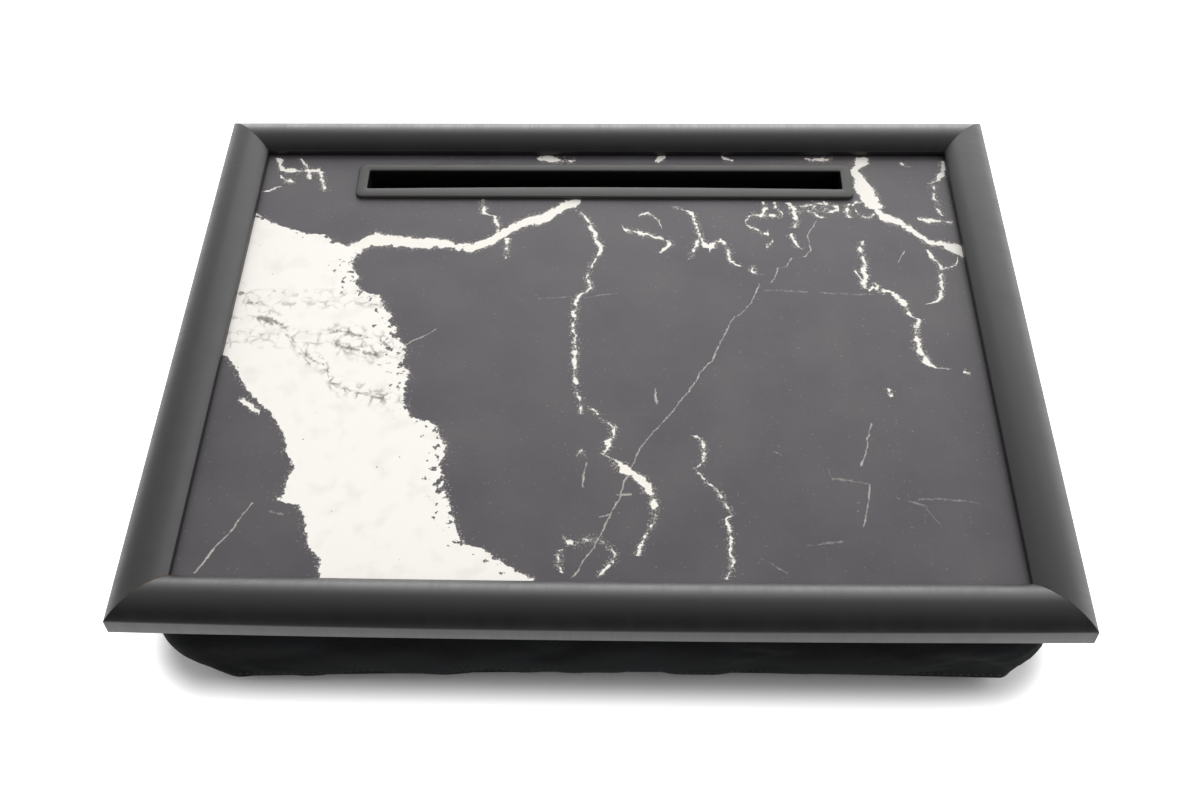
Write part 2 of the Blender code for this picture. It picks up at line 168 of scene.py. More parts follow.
# Brushed foil: a satin black film with fine streaks across the rail, so reflections are deep, a little
# blurred and drawn out along it. The streaks are 0.3 mm apart on the real one, and 0.8 mm here to show.
foil, tree, shader = new_finish("black_brushed_foil", Base_Color=linear("#101012"), IOR=1.56)
place = add(tree, "UVMap", uv_map="moulding")
stretched = add(tree, "VectorMath", (place, (1 / (0.8 * mm), 1 / (45 * mm), 0)), operation="MULTIPLY")
streaks = add(tree, "TexNoise", {"Vector": stretched, "Scale": 1.0, "Detail": 3.0})
wide = add(tree, "VectorMath", (place, (1 / (9 * mm), 1 / (60 * mm), 0)), operation="MULTIPLY")
bands = add(tree, "TexNoise", {"Vector": wide, "Scale": 1.0, "Detail": 2.0})
gloss = add(tree, "MapRange", {"Value": streaks, "From Min": 0.3, "From Max": 0.7,
                               "To Min": 0.34, "To Max": 0.44})
# The bands raise or lower the roughness by up to 0.08.
gloss = add(tree, "Math", (bands, 0.16, gloss), operation="MULTIPLY_ADD")
add(tree, "Math", (gloss, 0.08), operation="SUBTRACT", to=shader.inputs["Roughness"])
add(tree, "Bump", {"Height": streaks, "Strength": 0.06, "Distance": 0.04 * mm}, to=shader.inputs["Normal"])


def mottled(tree, shader, feature, detail, dark, pale, low=0.0, high=1.0):
    """Mixes two colours by noise with features of one size, and gives that noise."""
    place = add(tree, "NewGeometry")
    cloud = add(tree, "TexNoise", {"Vector": place, "Scale": 1 / feature, "Detail": detail})
    share = add(tree, "MapRange", {"Value": cloud, "From Min": low, "From Max": high})
    add(tree, "Mix", {0: share, 6: linear(dark), 7: linear(pale)}, data_type="RGBA",
        to=shader.inputs["Base Color"])
    return cloud


# Bare fibre: pressed wood fibre as the saw left it, a flat tan with short paler and darker flecks.
fibre, tree, shader = new_finish("sawn_wood_fibre", Roughness=0.85)
flecks = mottled(tree, shader, 1.1 * mm, 4.0, "#6d543c", "#a98a66", low=0.3, high=0.7)
add(tree, "Bump", {"Height": flecks, "Strength": 0.5, "Distance": 0.15 * mm}, to=shader.inputs["Normal"])

section = moulding_section()
rail_ends = {"front": half_length, "right": half_depth, "back": half_length, "left": half_depth}
for quarters, (side, half_run) in enumerate(rail_ends.items()):
    span = half_depth + half_length - half_run
    bow, roll = (front_bow, front_roll) if side == "front" else (0, 0)
    turn = Matrix.Rotation(math.radians(90) * quarters, 3, "Z")
    bm = bmesh.new()
    uv = bm.loops.layers.uv.new("moulding")
    loops = []
    for step in range(length_steps + 1):
        along = 2 * step / length_steps - 1
        loop = []
        for inset, height in section:
            x = along * (half_run - inset - mitre_gap / 2)
            swell = 1 - (x / half_run) ** 2
            tip = roll * swell * (1 - inset / rail_width) * min(1, (height - rail_base) / lip_height)
            loop.append(bm.verts.new(turn @ Vector((x, inset - span - bow * swell, height - tip))))
        loops.append(loop)
    around = [0]
    for i in range(len(section)):
        around.append(around[-1] + (section[(i + 1) % len(section)] - section[i]).length)
    for near, far in zip(loops, loops[1:]):
        for i in range(len(section)):
            j = (i + 1) % len(section)
            face = bm.faces.new((near[i], far[i], far[j], near[j]))
            inset, height = (section[i] + section[j]) / 2
            face.material_index = int(height < ledge_z + 0.01 * mm and inset > foil_return)
            for corner, row in zip(face.loops, (i, i, i + 1, i + 1)):
                run = (turn.inverted() @ corner.vert.co).x
                corner[uv].uv = (run + quarters * streak_shift, around[row])
    for loop in (loops[0], loops[-1]):
        bm.faces.new(loop).material_index = 1
    rail = shown(f"moulding_{side}", bm, (foil, fibre))
    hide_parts(f"frame_rail_{side}")

# Fastenings of the frame. Bent strips of zinc-plated steel pressed up across each mitre, flat framer's
# points shot into the rebate under the board, and staples driven up through the cushion's hem.
# Galvanised sheet: cold grey zinc in faint large crystals, dulled by handling.
zinc, tree, shader = new_finish("galvanised_steel", Metallic=1.0, Roughness=0.38)
place = add(tree, "NewGeometry")
spangle = add(tree, "TexVoronoi", {"Vector": place, "Scale": 1 / (2.5 * mm)})
add(tree, "MapRange", {"Value": spangle, "To Min": 0.3, "To Max": 0.5}, to=shader.inputs["Roughness"])
add(tree, "Mix", {0: spangle, 6: linear("#b9bcc0"), 7: linear("#9a9da2")},
    data_type="RGBA", to=shader.inputs["Base Color"])
for name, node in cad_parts.items():
    if name.startswith(("vee_nail", "framers_point", "staple")):
        node.material_slots[0].material = zinc

# Board. Hard fibreboard under the decor, cut out for the tablet slot and held in the rebate by the
# framer's points. Only its underside and the sides of its cut-out are ever seen.
# Hardboard: dark brown pressed fibre, slightly glossy where the press plate ran.
hardboard, tree, shader = new_finish("pressed_hardboard", Roughness=0.6)
flecks = mottled(tree, shader, 1.6 * mm, 5.0, "#4a3424", "#7c5b3f", low=0.35, high=0.65)
add(tree, "Bump", {"Height": flecks, "Strength": 0.4, "Distance": 0.1 * mm}, to=shader.inputs["Normal"])
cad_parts["tray_board"].material_slots[0].material = hardboard

# Decor. A printed laminate of grey-black marble, pressed onto the board. One broad white band crosses
# the left of it with a branch running off to the right, and thin broken veins cross the rest.
# Rows are points along a vein in millimetres from the tray's middle: x, y and half the vein's width.
upright_veins = [
    [(-9, -46, 0.6), (-9, -40, 0.8), (-10, -36, 0.7), (-12, -30, 0.8), (-13, -16, 0.8), (-13, -9, 1),
     (-12.6, -5, 1.3), (-13.3, 1.4, 0.9), (-13, 5, 0.8), (-14.3, 11, 0.8), (-14.3, 20.6, 1.2),
     (-13, 25, 0.7), (-13.6, 27.7, 0.7), (-11.7, 32.7, 1), (-8.6, 35, 0.9), (-6, 38.4, 0.8),
     (-6.4, 42, 1), (-8, 46, 0.9), (-6.4, 50.6, 0.4), (-5, 56, 0.4), (-3, 60.6, 0.8), (-1.4, 65, 0.9),
     (-1.4, 70, 1.2), (-3.6, 74, 1), (-4.3, 79, 1.5), (-7, 82.7, 1), (-6.4, 86.3, 1), (-9.3, 90, 1),
     (-11.7, 93.4, 1.2), (-15, 97, 0.5)],
    [(17.9, -127, 0.5), (18.9, -124.3, 1), (20, -120.7, 0.8), (21.4, -117, 0.6), (24.3, -111.4, 0.7),
     (25.4, -107, 0.6), (25.4, -103, 0.7), (26, -99.3, 2.2), (24.6, -94.3, 1.2), (23.6, -91.4, 2.6),
     (21.4, -86.4, 3), (17.9, -82, 3.5), (14.3, -80.7, 4.4), (10.7, -76.4, 3), (8.6, -73, 1.7),
     (5, -71.4, 0.7), (2.1, -70, 0.6), (3, -68, 0.1), (4.3, -66, 1.5), (4.3, -62, 1.5), (6.4, -58, 0.8),
     (6.9, -53.6, 1.8), (4.3, -50.7, 1), (1.4, -48.6, 0.7), (-3, -43, 0.6), (-6.4, -40, 0.4)],
    [(57, -138.3, 0.6), (59.3, -133.6, 0.6), (61, -128.6, 0.6), (60, -123, 0.5), (60.3, -115.7, 0.7),
     (59.3, -110, 0.6), (58.5, -106, 0.6), (61, -104, 0.5), (60, -101.4, 0.6), (58, -96.4, 0.6),
     (56.4, -91, 0.7), (50.7, -86.4, 0.6), (47, -80.7, 0.6), (46, -78, 0.1), (49, -74.3, 0.4),
     (49.7, -68.6, 0.8), (49, -62, 0.8), (47, -59.3, 0.8), (44.3, -58, 0.9)],
    [(-11.4, -138.6, 0.4), (-8, -133.6, 0.35), (-3.6, -125.7, 0.35), (0.7, -116.4, 0.35),
     (3.6, -109.3, 0.4), (7.1, -101.4, 0.35), (10.4, -93.6, 0.4), (11.7, -86.4, 0.35),
     (15.7, -75.7, 0.4), (17.4, -71.4, 0.35), (20.7, -64.3, 0.4), (24.3, -58.6, 0.35), (30, -50.7, 0.35),
     (36.4, -41.4, 0.4), (40.7, -35, 0.35), (44.3, -30, 0.4), (49.3, -19.3, 0.35), (51.4, -16.4, 0.4),
     (55.7, -10.7, 0.35), (57, -7, 0.4), (59, -1.4, 0.35), (63, 7, 0.4), (68, 18, 0.35),
     (71.4, 20.6, 0.4), (77, 28, 0.35), (80, 36, 0.4), (82, 43, 0.3)],
    [(88.6, 42, 0.3), (93, 53.4, 0.35), (97.4, 54.5, 0.35), (100, 60.6, 0.3), (107, 61.5, 0.35),
     (110.7, 66, 0.4), (110, 78, 0.3), (113, 83, 0.35), (115.7, 89, 0.35)],
    [(139, 74, 0.4), (137, 67.7, 1), (138, 62, 1.2), (138.3, 56.3, 1.3), (137, 50.6, 1.5),
     (138, 47, 1.7), (135.8, 42, 1.5), (137, 38.4, 1)],
    [(173, -15.7, 0.6), (170, -16.4, 0.7), (166.4, -15, 1.3), (162, -12, 2.3), (161, -7, 2),
     (159.3, -3.6, 1.5), (159.6, 1.4, 1.6), (159.3, 7, 1), (160, 13, 1.5), (161.7, 17, 0.9),
     (157.4, 20, 0.7), (156, 25.6, 1), (155, 30, 2.4), (151.4, 35, 1.8), (147, 37.7, 2)],
    [(165.7, 27.4, 0.8), (170, 28.4, 1), (173.6, 31.3, 1.1), (176, 37.7, 1), (177, 45, 1.1),
     (178.3, 50.6, 1), (177.4, 56.3, 1), (174.3, 61.3, 0.8), (172, 67, 0.6)],
    [(149, 98, 4.4), (146.4, 103.4, 5), (145.7, 109, 5), (144, 115, 5.5), (142, 120.6, 3.8),
     (140, 127.7, 2.8), (141, 131, 2.5), (144.3, 135, 4), (145.7, 140, 4)],
    [(39.3, 100.6, 0.6), (42, 97.4, 1.2), (47, 96.3, 1.5), (49, 92.7, 1), (49.7, 87.7, 1), (51.4, 82, 1),
     (52.6, 75.6, 1.3), (54.3, 70.6, 1.6), (57, 67.7, 3.2)],
    [(72, 54, 1.6), (67.4, 59, 1), (67, 65, 0.9), (65.7, 70.6, 1), (63.6, 74, 1.3)],
    [(46.7, 59, 0.3), (48.6, 66, 0.8), (50, 70.6, 1), (51.4, 75, 1.5)],
    [(-51.4, 59, 0.3), (-51, 66, 0.8), (-51.5, 70.6, 1), (-51.4, 75, 1.5)],
    [(-56, 80, 0.8), (-58, 87, 1), (-59, 92, 1), (-62.5, 92.7, 1), (-65.7, 94, 1.5), (-65.4, 99, 1.6),
     (-66.4, 105, 0.8)],
    [(82, 48.4, 0.8), (78.6, 51.3, 1.8), (80, 55.6, 0.8)],
    [(31, 64, 0.9), (33, 67, 1), (35.4, 69.4, 1.2), (36, 72, 1), (33, 74, 1)],
    [(119, 91, 1.2), (114.8, 94, 1.5), (115.7, 100.6, 1.1)],
    [(103, 83.4, 0.9), (105.4, 89, 1), (103, 95, 1.2), (104.3, 98, 1.5), (101.4, 103, 1)],
    [(85.4, 91.3, 0.9), (88.6, 97.7, 1), (87, 104, 0.9)],
    [(98, 94, 1.1), (94.8, 98, 0.8), (94.3, 103.4, 1)],
    [(133, 91, 1.5), (133, 96, 1), (133.6, 102.7, 0.8)],
    [(120, 95, 0.7), (121.4, 100.6, 1.3), (120.5, 104, 0.7)],
    [(105.7, 67, 0.8), (103.6, 70.6, 0.9), (101.4, 76, 1), (100.7, 79, 1.4)],
    [(184.3, 92.7, 0.8), (182, 98.4, 0.8), (183.6, 101.3, 0.9), (181.4, 107, 0.8), (182, 113.4, 0.8),
     (181.4, 119, 0.9), (184.3, 120.6, 1.5), (188, 125, 2), (189.3, 130.6, 1.8), (191, 137, 1.5)],
    [(170, 131.3, 0.4), (169.3, 132.7, 1), (166.4, 135.6, 1.3)],
    [(-155, 111.3, 0.5), (-156.6, 116.3, 0.7), (-158.3, 122, 0.9), (-160, 127.7, 1.6)],
    [(-165.4, 121, 1), (-166, 125, 1.3), (-167.6, 130, 1.3), (-170.4, 135, 0.9), (-172.6, 138, 0.7)],
    [(-188.3, 110.6, 1.8), (-186, 112, 1.1), (-181, 115, 1.2)],
    [(-180.4, 127.7, 2.4), (-184, 133.4, 1.3), (-185.4, 139, 2)],
    [(-180.4, -138, 0.5), (-176, -129, 0.5), (-172.6, -122, 0.4), (-167.6, -115, 0.5),
     (-165.4, -108.6, 0.4), (-160.4, -99, 0.4)],
    [(0, -138, 0.7), (3.6, -133.6, 0.8), (7, -130, 1.1), (8, -125.4, 0.8), (3, -120, 0.9),
     (0, -117.4, 0.7)],
    [(-15.7, -136, 0.4), (-17, -131, 0.7), (-18, -127, 0.6), (-16.4, -123, 0.5)],
    [(142.4, -33.6, 0.6), (140.7, -28, 0.5)],
    [(123.3, -75.6, 0.3), (127.4, -63, 0.35), (130.7, -50, 0.3)],
    [(121, -110, 0.25), (125.5, -91, 0.35), (125.3, -85.5, 0.3)],
    [(27.3, -39, 0.35), (27.4, -29, 0.4)],
    [(-7.3, -89, 0.3), (-7, -81, 0.4), (-6, -75, 0.3)],
    [(142, 37, 0.8), (144, 41, 1.1), (140, 44, 0.6)],
]
level_veins = [
    [(-143, 64, 1), (-136, 67, 3), (-132, 67, 5), (-128, 71, 5), (-123, 73.5, 5.3), (-117, 73, 4.8),
     (-110, 72, 4), (-102, 71, 4), (-92, 71, 4), (-84, 70.5, 3.2), (-78, 68, 2.3), (-70, 67.5, 3.3),
     (-60, 72.7, 4.3), (-50, 82, 4), (-40, 88, 3.6), (-34, 89, 4), (-30, 91.6, 4.6), (-26, 96, 3.8),
     (-20, 100.6, 3.4), (-15, 102, 3), (-12, 104, 1)],
    [(148, 98, 3), (150.7, 93.4, 4.2), (155, 90, 3.5), (160, 88, 3), (165, 83, 2.8), (170, 76.5, 2.6),
     (175, 72, 1.8), (180, 71.5, 2.2), (187, 67.7, 4), (194, 63, 5)],
    [(57, 67.7, 3), (60.7, 72, 1.4), (63.6, 74, 1.3)],
    [(10, 85.6, 0.7), (12, 81.3, 1), (18.6, 80, 1), (22, 79, 1.8), (27, 76.6, 1), (33, 74, 1)],
    [(19.3, 92.7, 0.7), (24.3, 95, 1.1), (27, 92, 0.8), (30.7, 88, 1.3), (32, 83, 0.5)],
    [(77, 88.4, 0.8), (80, 92.7, 0.9), (88, 93, 0.8), (95.7, 92.7, 1), (98, 94, 0.9)],
    [(77, 88, 0.8), (79.3, 84, 0.9), (83, 82.7, 1), (85.7, 79, 1), (89.3, 78.4, 1.3)],
    [(103, 95.5, 0.8), (107, 96, 0.7), (117, 97, 0.7), (123, 96, 0.7), (129, 97.7, 1)],
    [(101.4, 99, 0.8), (108.6, 100, 0.8), (115, 102, 1.3), (123, 101.3, 1.3), (129, 99, 1.8)],
    [(87, 69, 0.6), (91.4, 72.7, 0.8)],
    [(132, 52, 1.4), (134.3, 47.7, 1.2), (136, 44, 1)],
    [(138, 37, 0.7), (141, 40, 1), (144.3, 35.7, 1.2), (147, 37, 1.8)],
    [(178, 52.7, 0.7), (185.7, 55.6, 0.9), (187.5, 61, 1)],
    [(135.7, 100.6, 0.8), (138.6, 104, 0.8), (143, 103.4, 0.8)],
    [(137, 97, 0.8), (140, 92.7, 0.8), (144.3, 91.3, 0.8), (148, 94, 1)],
    [(155.7, 57.7, 0.4), (157.5, 61, 0.5), (160, 65.6, 0.5)],
    [(170, 91, 0.9), (172, 90, 1.5), (175.7, 89, 1.7), (179.3, 89.4, 1), (184.3, 89, 0.9),
     (189.3, 87.4, 0.9)],
    [(179, -17.3, 0.9), (182.6, -18.3, 0.9)],
    [(-16, -116.4, 1), (-13.6, -119.3, 0.9), (-10, -120.3, 0.8), (-5.7, -118, 0.9), (0, -117.4, 0.8),
     (3, -120, 0.8)],
    [(-11, -70, 0.7), (-8.6, -68, 0.8), (-6.4, -70, 0.7)],
    [(-180.4, 127.7, 2.2), (-175.4, 127.7, 1.5), (-169.7, 128.4, 1), (-160, 128, 1.5)],
    [(-182, 123.4, 1), (-179, 120, 1.2), (-172.6, 118.4, 0.7)],
    [(-38, 138.5, 0.6), (-36, 138.5, 2.4), (-31, 138.5, 3.4), (-27, 137.5, 2.2), (-24, 136.5, 0.8),
     (-19, 136.6, 1.2), (-16, 137, 0.5)],
    [(28.5, 137, 0.6), (30.5, 138, 2.4), (32.5, 139, 2.6), (35, 140, 1)],
    [(66, 140, 0.6), (69, 138.5, 1), (73, 136.5, 0.6)],
    [(113, 139, 0.5), (117, 137.4, 1), (122, 138, 1.3), (129, 138.5, 0.6)],
    [(-178, -38, 1.2), (-175, -39, 2), (-171, -42, 2), (-166, -46, 1.8)],
    [(-101, -3, 0.4), (-95, 1, 0.45), (-90, 4, 0.35), (-84, 9, 0.35)],
    [(0.5, -106, 0.3), (3.6, -104.8, 0.5), (6, -104, 0.3)],
    [(8, -93, 0.3), (15.4, -93, 0.4)],
]
faint_veins = [
    [(-33, 30.6, 0.3), (-25, 31.4, 0.4), (-16, 32, 0.3)], [(-9, 31, 0.35), (0, 33, 0.35), (9, 34.6, 0.25)],
    [(84, 37, 0.25), (95, 36.8, 0.4), (107, 36.2, 0.3)],
    [(112, 35.8, 0.3), (126, 35, 0.4), (141, 34.4, 0.3)],
    [(107, -76, 0.3), (108.6, -83, 0.4), (116, -84, 0.35), (125, -85.6, 0.4)],
    [(138, -93.6, 0.45), (144, -96, 0.4), (150, -97.6, 0.4), (156, -110, 0.3)],
    [(147, -94.6, 0.3), (157, -93.6, 0.35), (175, -96, 0.3)],
    [(94, -120.6, 0.35), (103, -118.6, 0.4), (113, -117.6, 0.3)],
    [(-152.6, -104, 0.5), (-145, -106, 0.5)],
    [(83, -67, 0.5), (87, -70, 0.5)],
    [(73, -127, 0.35), (85, -135, 0.35)],
]
band_left = [
    (-124, -139), (-125, -131), (-128, -127), (-132, -121), (-134, -113), (-136, -106), (-139, -100),
    (-149, -98.6), (-147, -93), (-146, -85), (-144, -79), (-147, -74), (-150, -69), (-151, -61),
    (-156, -53), (-160, -46), (-167, -40), (-172, -35), (-177, -28), (-181, -21), (-185, -15),
    (-188, -10), (-198, -7), (-200, 110),
]
band_right = [
    (-28, -139), (-34, -136), (-43, -130), (-51, -124), (-60, -121), (-63, -116), (-66, -110),
    (-68, -101), (-71, -93), (-73, -86), (-75, -77), (-73, -69), (-74, -64), (-77, -58), (-79, -53),
    (-84, -50), (-90, -49), (-94, -44), (-96, -37), (-97, -30), (-95, -24), (-96, -19), (-99, -14),
    (-98, -7), (-99, -3), (-104, 4), (-105, 10), (-110, 14), (-107, 18), (-112, 23), (-113, 28),
    (-116, 33), (-121, 33.6), (-125, 36), (-130, 41), (-128, 45), (-131, 50), (-133, 53), (-132, 58),
    (-130, 63), (-127, 66), (-136, 67.5), (-143, 71), (-146, 74), (-150, 77), (-160, 77.6), (-165, 80),
    (-170, 82), (-176, 84), (-180, 86), (-185, 89), (-191, 94), (-202, 110),
]
band_cracks = [
    [(-178, 16, 1.4), (-175, 16, 2), (-170, 15, 2), (-163, 10.7, 0.6), (-160, 5.7, 0.45), (-156, 1.4, 0.4),
     (-152.6, -4, 0.5), (-148, -9.3, 0.5), (-140.4, -14.3, 0.5), (-137, -18, 0.5), (-135, -24.3, 0.5),
     (-130.4, -29.3, 0.5), (-122.6, -32, 0.6), (-114, -35, 0.6), (-102.6, -37, 0.7)],
    [(-140, 5, 0.7), (-134, 8, 1), (-128, 6, 0.7), (-122, 4, 1), (-116, 3, 0.6)],
    [(-135, -1, 1), (-129, -4, 1.5), (-123, -5, 1.1), (-116, -8, 1.4), (-109, -9, 1)],
    [(-112, 1, 0.8), (-109, -2, 1.8), (-105, -5, 1.2)],
    [(-190.5, 33, 1), (-189, 33, 2.2), (-187.4, 33, 1)],
    [(-185, 28, 0.4), (-181, 27, 0.5), (-177, 26, 0.4)],
]


def line_across(tree, along, points):
    """Where a line through (place along, place across) points in millimetres lies, in centimetres."""
    first, last = points[0][0], points[-1][0]
    low = min(across for _, across in points)
    spread = max(across for _, across in points) - low or 1
    share = add(tree, "MapRange", {"Value": along, "From Min": first / 10, "From Max": last / 10})
    shape = [((a - first) / (last - first), (b - low) / spread) for a, b in points]
    middle = add(tree, "FloatCurve", {"Value": share}, points=shape)
    return share, add(tree, "Math", (middle, spread / 10, low / 10), operation="MULTIPLY_ADD")


# The depth that stands for a vein's edge, in centimetres. Past a vein's two ends the depth drops to 0.
beyond = 0.3


def depth_in_vein(tree, along, across, points):
    """How deep inside one vein a place lies, in centimetres, 'beyond' at its edge and less outside it."""
    points = sorted(points)
    first, last = points[0][0], points[-1][0]
    share, middle = line_across(tree, along, [point[:2] for point in points])
    widths = [((a - first) / (last - first), w / 10 + beyond) for a, _, w in points]
    widths = [(0, 0)] + [(min(max(s, 0.004), 0.996), w) for s, w in widths] + [(1, 0)]
    reach = add(tree, "FloatCurve", {"Value": share}, points=widths)
    off = add(tree, "Math", (across, middle), operation="SUBTRACT")
    off = add(tree, "Math", (off,), operation="ABSOLUTE")
    return add(tree, "Math", (reach, off), operation="SUBTRACT")


def deepest(tree, depths):
    """The greatest of several depths."""
    found = depths[0]
    for depth in depths[1:]:
        found = add(tree, "Math", (found, depth), operation="MAXIMUM")
    return found


def patches(tree, where, feature, detail, low, high, least=0.0, most=1.0):
    """Noise with features of one size, 'least' up to the level 'low' and 'most' from the level 'high'."""
    cloud = add(tree, "TexNoise", {"Vector": where, "Scale": 1 / feature, "Detail": detail})
    return add(tree, "MapRange", {"Value": cloud, "From Min": low, "From Max": high,
                                  "To Min": least, "To Max": most})


def torn(tree, depth, tear, outside, inside, most=1.0):
    """How strongly a vein shows at each depth in it, its edge torn by the ragged noise."""
    depth = add(tree, "Math", (ragged, tear, depth), operation="MULTIPLY_ADD")
    return add(tree, "MapRange", {"Value": depth, "From Min": beyond - outside,
                                  "From Max": beyond + inside, "To Max": most})


# Laminate: a print of marble under a clear satin melamine film, which softens reflections and keeps the
# print's edges crisp. It is drawn in centimetres. Noise warps and breaks the veins, so they look torn.
decor, tree, shader = new_finish("marble_laminate", Roughness=0.43, Specular_IOR_Level=0.46)
spot = add(tree, "NewGeometry")
spot = add(tree, "VectorMath", {0: spot, "Scale": 100.0}, operation="SCALE")
warped = spot
for feature, strength in ((0.9, 0.22), (0.24, 0.16)):
    jitter = add(tree, "TexNoise", {"Vector": spot, "Scale": 1 / feature, "Detail": 3.0})
    jitter = jitter.node.outputs["Color"]
    jitter = add(tree, "VectorMath", (jitter, (strength,) * 3, (-strength / 2,) * 3),
                 operation="MULTIPLY_ADD")
    warped = add(tree, "VectorMath", (warped, jitter), operation="ADD")
x, y, _ = add(tree, "SeparateXYZ", (warped,)).node.outputs
ragged = add(tree, "TexNoise", {"Vector": spot, "Scale": 1 / 0.3, "Detail": 5.0, "Roughness": 0.7})
ragged = add(tree, "Math", (ragged, 0.5), operation="SUBTRACT")
breaks = patches(tree, spot, 0.55, 3.0, 0.47, 0.66, most=0.14)

traces = [(y, x, [(b, a, w) for a, b, w in vein]) for vein in upright_veins]
traces += [(x, y, vein) for vein in level_veins]
veins, hairs = [
    deepest(tree, [
        depth_in_vein(tree, *trace) for trace in traces
        if (max(width for _, _, width in trace[2]) < 0.55) == fine
    ])
    for fine in (False, True)
]
vein_depth = veins
veins = add(tree, "Math", (veins, breaks), operation="SUBTRACT")
veins = torn(tree, veins, 0.62, 0.015, 0.05)
hairs = torn(tree, hairs, 0.2, 0.02, 0.06, most=0.8)
edges = [
    line_across(tree, y, [(b, a) for a, b in sorted(side, key=lambda point: point[1])])[1]
    for side in (band_left, band_right)
]
from_left = add(tree, "Math", (x, edges[0]), operation="SUBTRACT")
from_right = add(tree, "Math", (edges[1], x), operation="SUBTRACT")
band_depth = add(tree, "Math", (from_left, from_right), operation="MINIMUM")
# Round the band and each vein lie pale flecks of the same mineral, thinning out over 5 to 7 mm.
flecks = add(tree, "TexNoise", {"Vector": warped, "Scale": 1 / 0.11, "Detail": 3.0, "Roughness": 0.7})
near = add(tree, "MapRange", {"Value": vein_depth, "From Min": beyond - 0.5,
                              "From Max": beyond, "To Min": -0.13, "To Max": 0.11})
near_band = add(tree, "MapRange", {"Value": band_depth, "From Min": -0.7,
                                   "From Max": 0.0, "To Min": -0.13, "To Max": 0.09})
near = add(tree, "Math", (near, near_band), operation="MAXIMUM")
flecks = add(tree, "Math", (flecks, near), operation="ADD")
flecks = add(tree, "MapRange", {"Value": flecks, "From Min": 0.6, "From Max": 0.7, "To Max": 0.5})
stray = patches(tree, spot, 0.16, 2.0, 0.7, 0.77, most=0.2)
flecks = add(tree, "Math", (flecks, stray), operation="MAXIMUM")
faint = deepest(tree, [depth_in_vein(tree, x, y, vein) for vein in faint_veins])
faint = torn(tree, faint, 0.34, 0.02, 0.06, most=0.28)

band = add(tree, "Math", (ragged, 0.75, band_depth), operation="MULTIPLY_ADD")
band = add(tree, "MapRange", {"Value": band, "From Min": -0.02, "From Max": 0.04})
specks = add(tree, "TexNoise", {"Vector": warped, "Scale": 1 / 0.32, "Detail": 2.0})
fringe = add(tree, "MapRange", {"Value": from_right, "From Min": 0.0, "From Max": 1.6,
                                "To Min": 0.09, "To Max": -0.12})
specks = add(tree, "Math", (specks, fringe), operation="ADD")
specks = add(tree, "MapRange", {"Value": specks, "From Min": 0.62, "From Max": 0.66})
crack_depth = deepest(tree, [depth_in_vein(tree, x, y, vein) for vein in band_cracks])
cracks = torn(tree, crack_depth, 0.8, 0.02, 0.12, most=0.75)

clouds = patches(tree, spot, 3.5, 5.0, 0.3, 0.7)
milky = patches(tree, warped, 1.2, 6.0, 0.52, 0.72)
white = add(tree, "Mix", {0: milky, 6: linear("#f8f4ee"), 7: linear("#efebe3")}, data_type="RGBA")
web = add(tree, "TexVoronoi", {"Vector": warped, "Scale": 1 / 0.55}, feature="DISTANCE_TO_EDGE")
web = add(tree, "MapRange", {"Value": web, "From Min": 0.0, "From Max": 0.17,
                             "To Min": 0.95, "To Max": 0.0})
around_crack = add(tree, "MapRange", {"Value": crack_depth, "From Min": beyond - 0.75,
                                      "From Max": beyond + 0.05})
web = add(tree, "Math", (web, around_crack), operation="MULTIPLY")
patchy = patches(tree, spot, 0.5, 4.0, 0.42, 0.6)
web = add(tree, "Math", (web, patchy), operation="MULTIPLY")
for layer, code in ((web, "#5d574b"), (cracks, "#6a6355")):
    white = add(tree, "Mix", {0: layer, 6: white, 7: linear(code)}, data_type="RGBA")
stone = add(tree, "Mix", {0: clouds, 6: linear("#454147"), 7: linear("#514e50")}, data_type="RGBA")
for layer, code in ((faint, "#cfcac4"), (flecks, "#c9c3ba"), (hairs, "#d8d2ca"), (veins, "#f4f0e8")):
    stone = add(tree, "Mix", {0: layer, 6: stone, 7: linear(code)}, data_type="RGBA")
clear = add(tree, "Math", (1.0, specks), operation="SUBTRACT")
band = add(tree, "Math", (band, clear), operation="MULTIPLY")
add(tree, "Mix", {0: band, 6: stone, 7: white}, data_type="RGBA", to=shader.inputs["Base Color"])
film = add(tree, "TexNoise", {"Vector": spot, "Scale": 1 / 0.12, "Detail": 2.0})
add(tree, "Bump", {"Height": film, "Strength": 0.25, "Distance": 0.02 * mm}, to=shader.inputs["Normal"])
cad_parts["marble_laminate"].material_slots[0].material = decor

# Tablet slot. One injection moulding in black plastic: a flange that lies on the decor, a trough open at
# the top whose front wall bows towards the back, and six catches that snap under the board.
insert_low, insert_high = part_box("tablet_slot_insert")
board_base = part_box("tray_board")[0].z
slot_half, slot_front, slot_back, slot_bow = 131.5 * mm, 111.8 * mm, 126.4 * mm, 1.3 * mm
flange_corner, flange_round, mouth_round = 4 * mm, 0.8 * mm, 0.6 * mm
mouth_corner, trough_corner = 0.8 * mm, 1.6 * mm
flange_base = panel_top + clearance
trough_wall = 1.5 * mm
slot_floor = insert_low.z + 1.5 * mm
catch_reach, catch_root, catch_height, catch_half = 0.9 * mm, 0.7 * mm, 2.2 * mm, 5 * mm
catch_places = (-0.36, 0, 0.36)
side_steps, corner_steps, round_steps = 24, 6, 4


